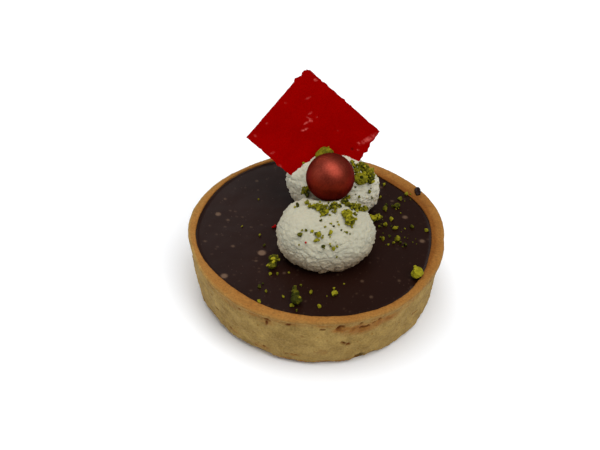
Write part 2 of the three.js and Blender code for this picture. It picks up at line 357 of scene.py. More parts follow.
def turn(line, steps):
    """Turns a line once round the upright axis into a closed shape."""
    bpy.ops.object.mode_set(mode="OBJECT")
    shape_by(
        line, "SCREW", steps=steps, render_steps=steps, use_merge_vertices=True, merge_threshold=0.001 * MM,
    )
    close_up(line)


def wall_radius(share):
    """The wall's outer radius at a share of the way up to the lip."""
    return FOOT_RADIUS + (WALL_TOP_RADIUS - FOOT_RADIUS) * share


# %% Turn the shell
SHELL_STEPS = 720
CRUMB_SPACING, RIM_SPACING, BASE_SPACING = 0.36, 0.25, 3  # mm between rows of faces
lip = SHELL_HEIGHT - RIM_LIP
lip_corner = lip + 0.45  # the lip slopes up to its outer corner
shell = draw_line("tart_shell", [
    (0, 0), (FOOT_RADIUS, 0),
    (wall_radius(0.3), SHELL_HEIGHT / 4), (wall_radius(0.6), SHELL_HEIGHT / 2),
    (wall_radius(0.85), SHELL_HEIGHT * 3 / 4), (WALL_TOP_RADIUS, lip),
    (RIM_RADIUS, lip_corner), (RIM_RADIUS, SHELL_HEIGHT), (WELL_RADIUS, SHELL_HEIGHT),
    (WELL_RADIUS, lip), (FOOT_RADIUS - WALL_THICKNESS, FLOOR_THICKNESS), (0, FLOOR_THICKNESS),
])
round_corner(shell, FOOT_RADIUS, 0, FOOT_ROUNDING, segments=7)
round_corner(shell, RIM_RADIUS, SHELL_HEIGHT, RIM_ROUNDING)
round_corner(shell, RIM_RADIUS, lip_corner, 0.15, segments=2)
round_corner(shell, WELL_RADIUS, SHELL_HEIGHT, 0.35)
cut_finely(shell, RIM_SPACING, lambda place: place.x > FOOT_RADIUS - 0.7 and place.z > lip + 0.1)
cut_finely(shell, CRUMB_SPACING, lambda place: place.x > FOOT_RADIUS - 1.3 and place.z > 0.05)
cut_finely(shell, BASE_SPACING, lambda place: place.z < 0.01)
turn(shell, SHELL_STEPS)
print("shell faces:", len(shell.data.polygons))

# %% Bend it, and roughen it
round_rows = places(shell)
shell_bearings = np.degrees(np.arctan2(round_rows[:, 1], round_rows[:, 0]))
shell_radii = np.hypot(round_rows[:, 0], round_rows[:, 1])
shell_heights = round_rows[:, 2]
on_rim = fall(shell_heights, lip + 0.5, lip + 0.1) * (shell_radii > WELL_RADIUS - 0.1)
on_wall = (1 - on_rim) * (shell_radii > wall_radius(shell_heights / lip) - 1) * fall(shell_heights, 0.6, 0)
put_back(shell, bend_to_shell(round_rows))
mask(shell, "wall", on_wall)
mask(shell, "rim", on_rim)
for size, depth, area in (
    (8, 0.8, "wall"), (2.8, 0.55, "wall"), (1, 0.5, "wall"), (5, 0.35, "rim"), (1.3, 0.16, "rim"),
):
    relief(shell, size, depth, area)
shell.vertex_groups.clear()
moved = np.linalg.norm(places(shell) - round_rows, axis=1)
print("moved by up to", round(float(moved.max()), 1), "mm")

# %% [markdown]
# ### Pits, cracks and the torn foot
# Butter melts out of shortcrust and leaves pits, the lip cracks a little where the dough was pressed over
# the ring's edge, and a flake came off at the foot. They could be painted, but at this size they catch the
# light, so we press them in by moving the vertices near each one. A label remembers how deep each vertex
# went, because a pit is also browner inside.

# %% Where the pits are
# Each pit: bearing in degrees, height, half length along the wall, half height, depth, and lean in degrees.
SHOWN_PITS = [
    (-123, 18.4, 0.5, 0.4, 0.4, 0), (-110, 18.5, 1.3, 0.35, 0.6, -8), (-110, 17, 0.5, 0.9, 0.5, 5),
    (-100.5, 18.5, 0.9, 0.3, 0.5, 0), (-117, 9.9, 0.4, 0.3, 0.25, 0), (-131.5, 4.9, 0.5, 0.4, 0.3, 0),
    (-128.5, 3.9, 0.4, 0.3, 0.25, 0), (-112.5, 4.6, 0.7, 0.4, 0.35, 20), (-117, 3.4, 0.5, 0.4, 0.3, 0),
    (-94.5, 14.1, 0.4, 0.3, 0.25, 0), (-86, 17.7, 0.9, 0.35, 0.5, 0), (-79.5, 18.2, 0.8, 0.45, 0.8, 25),
    (-78, 18.5, 0.8, 0.5, 0.9, 0), (-67.8, 16.6, 1.7, 0.55, 0.9, 8), (-69.7, 18.7, 0.5, 0.35, 0.4, 0),
    (-61, 18.6, 0.5, 0.35, 0.5, 20), (-63.7, 17.8, 0.5, 0.4, 0.4, 0), (-76.5, 10.8, 0.9, 0.4, 0.6, -35),
    (-74.6, 9.8, 0.9, 0.5, 0.6, -10), (-85.5, 7.1, 1.6, 1.3, 0.15, 0), (-101.5, 4.4, 0.4, 0.3, 0.3, 0),
    (-99.3, 4.5, 0.4, 0.25, 0.3, 0), (-97.4, 4.6, 0.5, 0.3, 0.3, 0), (-87, 2.1, 0.5, 0.3, 0.25, 0),
    (-60, 2.9, 0.4, 0.3, 0.25, 0), (-48.5, 7.7, 0.35, 0.3, 0.25, 0),
]
TORN_FOOT = [
    (-67.8, 1.4, 2.2, 2.6, 1.8, 10), (-71, 0.6, 1.6, 1.2, 0.6, 0), (-93.5, 0.2, 1.8, 0.8, 0.4, 0),
    (-61, 0.5, 3.6, 3, 0.8, 0), (-83, 0.4, 4, 2.8, 0.5, 0), (-113.5, 0.4, 4, 2.8, 0.55, 0),
]
HIDDEN_PITS = 46  # round the sides and back
chance = random.Random(3)


def hidden_pit():
    """A pit where chance puts it, away from the front."""
    small = chance.random() ** 2
    near_lip = chance.random() < 0.45
    height = chance.uniform(17, 19) if near_lip else chance.uniform(1.5, 17)
    bearing = chance.uniform(-40, 220)
    lean = chance.uniform(-20, 20)
    return bearing, height, 0.35 + 0.9 * small, 0.25 + 0.3 * small, 0.2 + 0.5 * small, lean


print("pits in front:", len(SHOWN_PITS), "and bites at the foot:", len(TORN_FOOT))

# %% Press the pits in
def away_from(bearing):
    """How far round each shell vertex is from a bearing, in degrees, from -180 to 180."""
    return (shell_bearings - bearing + 180) % 360 - 180


def from_place(bearing, height):
    """How far each shell vertex is from a place on the wall, along it and up, in mm."""
    return np.radians(away_from(bearing)) * shell_radii, shell_heights - height


def from_oval(along, up, half_length, half_height, lean=0):
    """How far places are from the middle of a leaning oval. On its line it is 1."""
    cosine, sine = math.cos(math.radians(lean)), math.sin(math.radians(lean))
    return np.hypot((along * cosine + up * sine) / half_length, (up * cosine - along * sine) / half_height)


def press(pits):
    """How far each shell vertex goes in, in mm, and how much it lies in a pit."""
    ragged = 1 + 0.45 * wander(round_rows, 0.9)
    inward, pitted = np.zeros(len(round_rows)), np.zeros(len(round_rows))
    for bearing, height, half_length, half_height, depth, lean in pits:
        distance = ragged * from_oval(*from_place(bearing, height), half_length, half_height, lean)
        inward = np.maximum(inward, fall(distance, 0.35, 1.15) * depth)
        pitted = np.maximum(pitted, fall(distance, 0.7, 1.3) * min(2.2 * depth, 1))
    outer_half = shell_radii > wall_radius(shell_heights / lip) - 1
    return inward * outer_half, pitted * outer_half


pit_depths, pitted = press(SHOWN_PITS + [hidden_pit() for _ in range(HIDDEN_PITS)])
torn_depths, torn = press(TORN_FOOT)
rows = places(shell)
rows[:, :2] *= (1 - (pit_depths + torn_depths) / np.maximum(shell_radii, 1))[:, None]
rows[:, 2] = np.maximum(rows[:, 2], 0)
put_back(shell, rows)
print("pits pressed:", len(SHOWN_PITS) + HIDDEN_PITS)

# %% [markdown]
# ### How well done each part is
# Shortcrust that touches the ring stays pale, and what stands up into the oven's air turns golden and then
# brown. So the rim is golden, a brown stain creeps down from under the lip, and the foot has brown freckles.
# A band just under the lip and the rim's right side are painted darker, partly toasting and partly painted
# shade. We work out one label for how toasted each vertex is, with this painted shade in it, and one for
# chocolate that smeared on the rim's inner edge, with painted shade where the rim stands above the fill.

# %% Label the toasting and the painted shade
# Each toasted patch: bearing, height, half length, half height, and how brown it is.
PATCHES = [
    (-94.2, 1.2, 1.9, 0.9, 0.95), (-70, 16.1, 7, 3.2, 0.95), (-60, 16.9, 8, 2.2, 0.95),
    (-78, 17.2, 4, 1.6, 1.1), (-110, 17.6, 3.5, 1.8, 0.4), (-99.5, 4.5, 3.2, 0.8, 0.5),
    (-114, 3.8, 4, 1.6, 0.5), (-130, 4.2, 3, 1.2, 0.5), (-102, 1.5, 5, 1.2, 0.65), (-86, 1.4, 5, 0.9, 0.5),
    (-76, 1.6, 4, 1, 0.45), (-45, 18, 9, 0.9, 0.45), (-128, 17.8, 9, 0.9, 0.35),
]
cloudy = wander(round_rows, 5)
mottled = wander(round_rows, 1.8, 3)
# A darker band under the lip: partly toasting, partly painted shade under the overhanging lip.
under_lip_toast_and_shade = fall(lip - shell_heights, 0.1, 2.2) * (0.42 + 0.35 * cloudy + 0.25 * mottled)
at_foot = fall(shell_heights, 0.2, 1.6) * (0.3 + 0.5 * mottled)
toast_and_shade = np.maximum(np.clip(under_lip_toast_and_shade, 0, 1), np.clip(at_foot, 0, 1)) * (1 - on_rim)
for bearing, height, half_length, half_height, brown in PATCHES:
    patch = brown * fall(from_oval(*from_place(bearing, height), half_length, half_height), 0.2, 1.2)
    toast_and_shade = np.maximum(toast_and_shade, patch * (0.8 + 0.45 * mottled) * (1 - on_rim))
inwards = (RIM_RADIUS - shell_radii) / RIM_WIDTH  # 0 at the rim's outer edge and 1 at its inner edge
on_right = fall(np.abs(away_from(15)), 25, 60)
on_left = fall(np.abs(away_from(170)), 30, 70)
by_corner = fall(np.abs(shell_heights - lip_corner), 0.08, 0.25)
rim_toast_and_shade = 0.66 + 0.1 * cloudy + 0.07 * mottled
rim_toast_and_shade += 0.12 * fall(inwards, 0.95, 0.6) - 0.14 * fall(inwards, 0.05, 0.25)  # browner inside, paler outside
# Browner on the right, most towards the inner edge: partly toasting, partly painted shade.
rim_toast_and_shade += on_right * (0.12 * fall(inwards, 0.4, 0.15) + 0.28 * fall(inwards, 0.95, 0.4))
rim_toast_and_shade -= on_left * (0.06 + 0.3 * fall(inwards, 0.1, 0.35))
rim_toast_and_shade -= (0.32 + 0.2 * mottled) * fall(shell_heights, lip_corner, lip + 1.2)  # paler down its outer face
rim_toast_and_shade -= 0.5 * by_corner * fall(np.abs(away_from(-138)), 12, 26)  # a pale line along its corner
base = (shell_heights < 0.05) & (shell_radii < FOOT_RADIUS)
label(shell, "toast_and_shade", np.maximum(toast_and_shade, on_rim * rim_toast_and_shade) + base * (0.35 + 0.2 * cloudy))
label(shell, "pitted", pitted)
# Dark on the rim's inner wall above the fill: partly smeared chocolate, partly painted shade.
above_fill = 1 - fall(SHELL_HEIGHT - shell_heights, 0.35 - 0.25 * mottled.clip(0, 1), 0.7)
label(shell, "smeared_and_shaded", above_fill * (shell_radii < WELL_RADIUS + 0.3) * (shell_heights > lip))
print("toasted on average:", round(float(toast_and_shade.mean()), 3))


# %% The finish of baked shortcrust
def baked_shortcrust():
    """Flour, butter and sugar, baked. To the eye: matt and sandy, a pale freckled wall and a golden rim."""
    material, tree, place = new_material("baked_shortcrust")
    toast_and_shade_share, pit, smear_and_shade = (
        node(tree, "ShaderNodeAttribute", attribute_name=name).outputs["Fac"]
        for name in ("toast_and_shade", "pitted", "smeared_and_shaded")
    )
    clouds = node(tree, "ShaderNodeTexNoise", {"Vector": place, "Scale": per(4), "Detail": 3})
    sand = node(tree, "ShaderNodeTexNoise", {
        "Vector": place, "Scale": per(0.55), "Detail": 3, "Roughness": 0.6,
    })
    cells = node(tree, "ShaderNodeTexVoronoi", {"Vector": place, "Scale": per(2.6), "Randomness": 1})
    # The toasting label also carries painted shade, under the lip and on the rim's right.
    gold = node(tree, "ShaderNodeMapRange", {"Value": toast_and_shade_share, "From Min": 0.02, "From Max": 0.68})
    brown = node(tree, "ShaderNodeMapRange", {"Value": toast_and_shade_share, "From Min": 0.68, "From Max": 1})
    freckle = node(tree, "ShaderNodeMapRange", {
        "Value": cells, "From Min": 0.06, "From Max": 0.15, "To Min": 0.6, "To Max": 0,
    })
    colour = linear("#674b1c")
    for share, tone in (
        (clouds, "#b89a58"), (gold, "#916128"), (brown, "#74430c"), (freckle, "#7d5018"), (pit, "#653000"),
        (smear_and_shade, "#2c1a14"),
    ):
        colour = node(tree, "ShaderNodeMix", {
            MIX_FACTOR: share, MIX_A: colour, MIX_B: linear(tone),
        }, data_type="RGBA")
    lightness = node(tree, "ShaderNodeMapRange", {
        "Value": sand, "From Min": 0.3, "From Max": 0.7, "To Min": 0.76, "To Max": 1.22,
    })
    grained = node(tree, "ShaderNodeHueSaturation", {"Color": colour, "Value": lightness})
    return close_material(material, tree, grained, sand, 0.5, 0.15, {
        "Roughness": 0.85, "IOR": 1.45, "Specular IOR Level": 0.25,
    })


finish_material(shell, baked_shortcrust())
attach(shell, "root")
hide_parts("crust")

# %% [markdown]
# ## The ganache
# Dark chocolate and cream are poured in warm and set nearly flat, a little below the rim, with a thin raised
# edge where they cling to the wall. Air bubbles that burst as the ganache set left pale discs, and a dust of
# tiny ones. The fill is turned like the shell, with rows fine enough for the larger discs; the dust is left
# to the material.

# %% Turn the fill
MENISCUS = 0.2  # how far the edge climbs at the wall
INTO_WALL = 0.15
FILL_STEPS = 540
EDGE_SPACING, TOP_SPACING = 0.3, 0.42  # mm between rows of faces
ganache_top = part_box("ganache")[1].z / MM - MENISCUS
fill_foot = FOOT_RADIUS - WALL_THICKNESS - 0.3
fill_edge = WELL_RADIUS + INTO_WALL
fill = draw_line("ganache_fill", [
    (0, FLOOR_THICKNESS + 0.3), (fill_foot, FLOOR_THICKNESS + 0.3), (fill_edge, lip),
    (fill_edge, ganache_top + MENISCUS), (WELL_RADIUS - 0.9, ganache_top), (0, ganache_top),
])
cut_finely(fill, EDGE_SPACING, lambda place: place.x > WELL_RADIUS - 1 and place.z > ganache_top)
cut_finely(fill, TOP_SPACING, lambda place: place.z > ganache_top - 0.01)
turn(fill, FILL_STEPS)
flat_rows = places(fill)
put_back(fill, bend_to_shell(flat_rows))
mask(fill, "top", (flat_rows[:, 2] > lip + 0.1).astype(float))
relief(fill, 14, 0.25, "top")
relief(fill, 4, 0.05, "top")
fill.vertex_groups.clear()
print("fill faces:", len(fill.data.polygons))

# %% Label the burst bubbles
# Each bubble: its place on the top and how wide it is, all in mm.
BUBBLES = [
    (-31.8, 6.5, 1.7), (-28.4, 3.8, 1), (-25.7, -8.5, 1.1), (-16.6, -11, 2.4), (-27.1, -21.9, 2),
    (-20.7, 24.3, 1), (-30.3, 14.2, 0.9), (-18.1, -14.7, 0.9), (-34.5, -6.7, 0.9), (-9.3, -19.5, 0.9),
    (27.9, 8.8, 1.6), (32.8, -2.4, 1.6), (24, 16.7, 1), (14, -21.6, 1), (16.6, -28.1, 1), (25, -20.7, 0.9),
    (20.4, 23.6, 1.1),
]
DUST_BUBBLES = 110
chance = random.Random(11)
dust = []
for _ in range(DUST_BUBBLES):
    bearing, radius = chance.uniform(0, math.tau), WELL_RADIUS * math.sqrt(chance.random())
    dust.append((radius * math.cos(bearing), radius * math.sin(bearing), chance.uniform(0.4, 0.7)))
bubbled = np.zeros(len(flat_rows))
top_rows = places(fill)
for x, y, across in BUBBLES + dust:
    distance = np.hypot(top_rows[:, 0] - x, top_rows[:, 1] - y)
    strength = min(0.28 * across, 0.6)
    bubbled = np.maximum(bubbled, strength * fall(distance, across / 2 - 0.3, across / 2 + 0.25))
label(fill, "bubbled", bubbled * (top_rows[:, 2] > lip))
print("bubbles:", len(BUBBLES) + len(dust))


# %% The finish of set ganache
def set_ganache():
    """Dark chocolate emulsion, poured and set. To the eye: nearly black brown, satin, slightly clouded."""
    material, tree, place = new_material("set_dark_ganache")
    bubbled = node(tree, "ShaderNodeAttribute", attribute_name="bubbled").outputs["Fac"]
    clouds, grain = (
        node(tree, "ShaderNodeTexNoise", {"Vector": place, "Scale": per(size), "Detail": 2})
        for size in (11, 0.4)
    )
    cells = node(tree, "ShaderNodeTexVoronoi", {"Vector": place, "Scale": per(1.6), "Randomness": 1})
    speck = node(tree, "ShaderNodeMapRange", {
        "Value": cells, "From Min": 0.02, "From Max": 0.12, "To Min": 0.26, "To Max": 0,
    })
    colour = linear("#1b0b06")
    for share, tone in ((clouds, "#210f0a"), (speck, "#7d6455"), (bubbled, "#7c624e")):
        colour = node(tree, "ShaderNodeMix", {
            MIX_FACTOR: share, MIX_A: colour, MIX_B: linear(tone),
        }, data_type="RGBA")
    return close_material(material, tree, colour, grain, 0.15, 0.05, {
        "Roughness": 0.36, "IOR": 1.46, "Specular IOR Level": 0.09,
    })


finish_material(fill, set_ganache())
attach(fill, "root")
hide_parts("ganache")

# %% [markdown]
# ## The whipped cream
# Each dollop is dropped from a spoon: a soft, slightly square ball that sags under its own weight and
# undercuts where it meets the ganache. Its skin is smooth and dimpled on top, where the spoon left it, and
# torn into small flat scales lower down. A fine ball of even triangles takes this best. Broad dents and
# pebbles are noise; the scales are cells stretched sideways, which no single texture gives, so we move the
# vertices by our own sum.

# %% Where a dollop swells, and where the pearl sits
# For each swelling or dent: the middle, the reach, and how far the skin goes out, all in mm.
SWELLS = [((-8.4, 12, 33), 6, 1.4), ((14.8, 19, 35.6), 8, -1.5), ((-4.6, -0.4, 34), 5.5, -0.9)]
SEAT_DEPTH, SEAT_REACH = 3.9, 9.0  # how far the pearl presses the cream down, and how far round it
pearl_low, pearl_high = (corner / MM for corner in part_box("pearl"))
pearl_middle = (pearl_low + pearl_high) / 2
print("the pearl's middle is at", [round(measure, 1) for measure in pearl_middle], "mm")


def pressed(rows):
    """How far the pearl presses the cream down at each row."""
    distance = np.hypot(rows[:, 0] - pearl_middle.x, rows[:, 1] - pearl_middle.y) / SEAT_REACH
    return SEAT_DEPTH * (1 - np.minimum(distance, 1) ** 2) ** 2


# %% The torn skin of the cream
def shingles(rows, width, height, seed):
    """Overlapping flat scales: each bulges towards its lower edge and drops off there. From 0 to 1."""
    drift = 0.28 * np.column_stack([wander(rows, 3.5, seed + axis) for axis in (20, 30, 40)])
    cells = rows / (width, width, height) + drift + seed
    thickness = np.empty(len(rows))
    for index, cell in enumerate(cells):
        (near, next_near, *_), (middle, *_) = noise.voronoi(Vector(cell))
        hang = min(max(0.5 + 0.75 * (middle.z - cell[2]), 0), 1)
        thickness[index] = hang * min((next_near - near) / 0.3, 1)
    return thickness


def cream_skin(rows, up, seed):
    """How far the skin stands out at each row, in mm: soft dents and pebbles above, torn scales below."""
    torn = fall(up + 0.12 * wander(rows, 6, seed + 3), 0.35, 0.85)
    dents = 0.55 * wander(rows, 8, seed) + 0.3 * wander(rows, 4.2, seed + 1)
    pebbles = 0.6 * np.abs(wander(rows, 3, seed + 5)) + 0.4 * np.abs(wander(rows, 1.5, seed + 6))
    broad = (shingles(rows, 2.8, 1.6, seed) - 0.5) * (0.22 + 0.3 * torn)
    small = (shingles(rows, 1.5, 0.75, seed + 50) - 0.5) * (0.1 + 0.15 * torn)
    fringe = 0.55 * fall(up, 0.04, 0.16) * wander(rows, 1.5, seed + 9)
    skin = dents + pebbles * (1 - 0.4 * torn) + broad + small + fringe
    skin -= skin.mean()
    for middle, reach, outwards in SWELLS:
        skin += outwards * fall(np.linalg.norm(rows - middle, axis=1), 0, reach)
    return skin


# %% Drop the two dollops
def drop_dollop(name, node_name, half, squareness, heading, free_side, seed):
    """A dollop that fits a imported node. Half is half its width, depth and height in mm. The heading of its
    width is in degrees. Its free side, 0 in front or 1 behind, is where no neighbour cuts into the node."""
    corners = [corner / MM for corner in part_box(node_name)]
    ball = begin(bpy.ops.mesh.primitive_ico_sphere_add, name, subdivisions=7, radius=MM)
    rows = places(ball)
    rows *= (np.abs(rows) ** squareness).sum(axis=1, keepdims=True) ** (-1 / squareness)
    rows = rows * half @ np.array(Matrix.Rotation(math.radians(-heading), 3, "Z"))
    own_corners = rows.min(axis=0), rows.max(axis=0)
    rows[:, 0] += (corners[0].x + corners[1].x) / 2
    rows[:, 1] += corners[free_side].y - own_corners[free_side][1]
    rows[:, 2] += corners[1].z - own_corners[1][2]
    up = (rows[:, 2] - ganache_top) / (corners[1].z - ganache_top)
    rows[:, 2] -= pressed(rows)
    put_back(ball, rows)
    put_back(ball, rows + normals(ball) * cream_skin(rows, up, seed)[:, None])
    bpy.ops.object.mode_set(mode="EDIT")
    bpy.ops.mesh.select_all(action="SELECT")
    bpy.ops.mesh.bisect(
        plane_co=(0, 0, (ganache_top - 0.25) * MM), plane_no=(0, 0, 1), clear_inner=True, use_fill=True,
    )
    bpy.ops.object.mode_set(mode="OBJECT")
    ball.data.shade_smooth()
    label(ball, "height", (places(ball)[:, 2] - ganache_top) / (corners[1].z - ganache_top))
    print(name, "faces:", len(ball.data.polygons))
    return ball


cream_front = drop_dollop(
    "cream_dollop_front", "cream_front",
    half=(14.75, 13.1, 9.9), squareness=2.2, heading=12, free_side=0, seed=2,
)
cream_back = drop_dollop(
    "cream_dollop_back", "cream_back",
    half=(15.1, 12, 12.4), squareness=1.9, heading=-15.6, free_side=1, seed=7,
)


# %% The finish of whipped cream
def whipped_cream(name, shaded_foot, crown):
    """Fat and air, whisked stiff. To the eye: matt off-white, with warm painted shade at its foot."""
    material, tree, place = new_material(name)
    pebbles = node(tree, "ShaderNodeTexNoise", {"Vector": place, "Scale": per(0.7), "Detail": 3})
    height = node(tree, "ShaderNodeAttribute", attribute_name="height").outputs["Fac"]
    # The foot colour is painted shade, and it fades out going up.
    painted_shade_fade = node(tree, "ShaderNodeMapRange", {"Value": height, "From Max": 0.55})
    colour = node(tree, "ShaderNodeMix", {
        MIX_FACTOR: painted_shade_fade, MIX_A: linear(shaded_foot), MIX_B: linear(crown),
    }, data_type="RGBA")
    return close_material(material, tree, colour, pebbles, 0.4, 0.15, {
        "Roughness": 0.6, "IOR": 1.45, "Specular IOR Level": 0.3,
        "Subsurface Weight": 0.3, "Subsurface Radius": (1.6, 1.2, 0.8), "Subsurface Scale": MM,
    })


# The back dollop's colours are lighter: painted light, to lift the shade the plaque and pearl cast on it.
for dollop, node_name, shaded_foot, crown in (
    (cream_front, "cream_front", "#a68a6a", "#afab96"), (cream_back, "cream_back", "#c0af96", "#c2beaa"),
):
    finish_material(dollop, whipped_cream("whipped_" + node_name, shaded_foot, crown))
    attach(dollop, "root")
    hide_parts(node_name)

# %% [markdown]
# ## The chocolate pearl
# A ball of chocolate that was panned smooth and then tumbled in red-bronze lustre powder. The powder's
# flakes lie flat and give a broad soft glint with a fine grain. Its top is painted paler, as painted light
# from the softbox above. The ball is a fine round mesh with the slight unevenness of panning, and the metal
# is left to the material.

# %% Roll the pearl
pearl_radius = (pearl_high.z - pearl_low.z) / 2
pearl = begin(
    bpy.ops.mesh.primitive_ico_sphere_add, "lustre_pearl", subdivisions=6, radius=pearl_radius * MM,
    location=pearl_middle * MM,
)
bpy.ops.object.transform_apply(location=True, rotation=False, scale=False)
relief(pearl, 4, 0.12)
relief(pearl, 0.7, 0.03)
pearl.data.shade_smooth()
print("pearl:", round(2 * pearl_radius, 1), "mm across")


# %% The finish of lustre powder on chocolate
def lustre_chocolate():
    """Dark chocolate under metallic powder. To the eye: red-brown, a broad rosy glint and a fine grain."""
    material, tree, place = new_material("lustre_dusted_chocolate")
    # Real flakes are under 0.1 mm. They are drawn at 0.5 mm, so that their grain shows.
    flakes, clouds = (
        node(tree, "ShaderNodeTexNoise", {"Vector": place, "Scale": per(size), "Detail": 2})
        for size in (0.5, 3)
    )
    # The top is painted paler: painted light from the softbox above.
    height = node(tree, "ShaderNodeSeparateXYZ", {"Vector": place}).outputs["Z"]
    painted_top_light = node(tree, "ShaderNodeMapRange", {
        "Value": height, "From Min": (pearl_middle.z + 2) * MM, "From Max": (pearl_middle.z + 6) * MM,
    })
    body_tone, painted_light_tone = (
        node(tree, "ShaderNodeMix", {
            MIX_FACTOR: flakes, MIX_A: linear(dark), MIX_B: linear(light),
        }, data_type="RGBA")
        for dark, light in (("#541002", "#80240e"), ("#6a2014", "#9c4434"))
    )
    tone_with_painted_top_light = node(tree, "ShaderNodeMix", {MIX_FACTOR: painted_top_light, MIX_A: body_tone, MIX_B: painted_light_tone}, data_type="RGBA")
    lightness = node(tree, "ShaderNodeMapRange", {
        "Value": clouds, "From Min": 0.3, "From Max": 0.7, "To Min": 0.9, "To Max": 1.1,
    })
    worn = node(tree, "ShaderNodeHueSaturation", {"Color": tone_with_painted_top_light, "Value": lightness})
    return close_material(material, tree, worn, flakes, 0.6, 0.06, {
        "Metallic": 1, "Roughness": 0.5, "Specular Tint": linear("#a05040"),
        "Coat Weight": 0.08, "Coat Roughness": 0.45,
    })


finish_material(pearl, lustre_chocolate())
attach(pearl, "root")
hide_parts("pearl")

# %% [markdown]
# ## The red plaque
# A sheet of coloured chocolate, spread on film and cut by hand into a square that isn't quite square: one
# side is askew, the cut edges are ragged, and one edge has a nick. We draw it flat as a fine grid, because
# its scuffs are labels on the same grid, then give it thickness and lean it back into the dollop.

# %% Draw the plaque flat
PLAQUE_WIDTH, PLAQUE_HEIGHT, PLAQUE_THICKNESS = 30.0, 28.6, 1.1
ASKEW = 3.6  # how far the bottom right corner is cut out too far
PLAQUE_LEAN, PLAQUE_TURN = 28, -38.8  # degrees back from upright, and in its own plane
plaque = begin(
    bpy.ops.mesh.primitive_grid_add, "red_plaque", x_subdivisions=108, y_subdivisions=104, size=MM,
)
flat = places(plaque)
across, along = flat[:, 0] + 0.5, flat[:, 1] + 0.5  # shares of the width and the height
u = flat[:, 0] * PLAQUE_WIDTH + ASKEW * across * (1 - along)
v = flat[:, 1] * PLAQUE_HEIGHT
sheet_rows = np.column_stack([u, v, np.zeros(len(u))])
right = PLAQUE_WIDTH / 2 + ASKEW * (1 - along)
top = PLAQUE_HEIGHT / 2
print("plaque:", PLAQUE_WIDTH, "by", PLAQUE_HEIGHT, "mm")

# %% Cut its ragged edges
EDGE_REACH = 1.6  # how far in from an edge its raggedness is felt
ragged = 0.14 * wander(sheet_rows, 2.4) + 0.1 * wander(sheet_rows, 0.9)
u_new = u + ragged * fall(right - u, 0, EDGE_REACH)
u_new -= 0.6 * ragged * fall(u + PLAQUE_WIDTH / 2, 0, EDGE_REACH)
v_new = v + 1.2 * ragged * fall(top - v, 0, EDGE_REACH)
v_new -= 0.8 * ragged * fall(v + top, 0, EDGE_REACH)
# Cuts at the edges: the place, how far round it the cut reaches, and how far the edge moves across and up.
CUTS = [
    (-15.2, 11.3, 0.8, 0.45, 0), (-15.2, 9.3, 1.2, -0.55, 0), (-14.8, 14.1, 1.2, 0.5, -0.5),
    (-8.6, 14.1, 0.9, 0, -0.35), (-7, 14.1, 1.2, 0, 0.2), (0.2, 14.1, 0.8, 0, 0.3),
    (3, 14.1, 0.6, 0, 0.25), (15.2, 9.8, 1.2, -0.4, 0), (15.9, 7.2, 0.9, 0.45, 0),
    (15.8, 5.8, 0.8, -0.35, 0), (-2, -14.1, 1.3, 0, -0.4), (-9, -14.1, 1.1, 0, 0.25),
]
for x, y, reach, right_by, up_by in CUTS:
    felt = fall(np.hypot(u - x, v - y), 0, reach)
    u_new += right_by * felt
    v_new += up_by * felt
put_back(plaque, np.column_stack([u_new, v_new, np.zeros(len(u))]))
shape_by(plaque, "SOLIDIFY", thickness=PLAQUE_THICKNESS * MM, offset=0)
print("plaque faces:", len(plaque.data.polygons))

# %% Label its scuffs
# Each scuff on the front: place, half length, half width, lean in degrees, and strength.
SCUFFS = [
    (-2.9, -0.5, 1.0, 0.3, 62, 0.75), (-3.9, 1.4, 0.9, 0.25, 75, 0.55), (-3.3, 2.8, 0.55, 0.35, 10, 0.85),
    (-5.0, 4.3, 0.8, 0.3, 80, 0.35), (-4.2, 3.1, 1.1, 0.2, 20, 0.35), (-8.5, 7.6, 1.0, 0.25, 70, 0.22),
    (-12.8, 1.9, 0.35, 0.3, 0, 0.3), (-13.0, -6.8, 0.35, 0.3, 0, 0.3), (-10.4, 13.2, 0.6, 0.4, 40, 0.55),
    (-5.7, -12.6, 0.7, 0.3, 60, 0.35), (-1.0, -14.2, 0.9, 0.3, 0, 0.3), (12.5, 7.3, 0.5, 0.35, 0, 0.5),
    (13.9, 10.2, 2.8, 0.7, 72, 0.42), (14.2, 12.6, 0.9, 0.3, 60, 0.4), (13.7, 5.6, 0.35, 0.3, 0, 0.6),
    (-2.7, 4.8, 0.3, 0.3, 0, 0.25), (-13.2, -12.1, 0.5, 0.3, 0, 0.3), (5, 6, 0.3, 0.25, 0, 0.15),
]
DENT_X, DENT_Y, DENT_WIDTH = 12.2, 4.5, 0.5  # a small dark hole low on the right
rows = places(plaque)
scuffed = np.zeros(len(rows))
broken = 0.8 + 0.9 * np.abs(wander(rows, 0.45))
for x, y, half_length, half_width, lean, strength in SCUFFS:
    distance = from_oval(rows[:, 0] - x, rows[:, 1] - y, half_length, half_width, lean)
    scuffed = np.maximum(scuffed, strength * fall(distance, 0.3, 1.5))
label(plaque, "scuffed", scuffed * broken)
dent = fall(np.hypot(rows[:, 0] - DENT_X, rows[:, 1] - DENT_Y), 0.1, 1.4 * DENT_WIDTH)
label(plaque, "dented", dent)
rows[:, 2] -= 0.25 * dent * (rows[:, 2] > 0)
rows[:, 2] += 0.18 * wander(rows, 9)
put_back(plaque, rows)
relief(plaque, 0.8, 0.035)
print("scuffs:", len(SCUFFS))

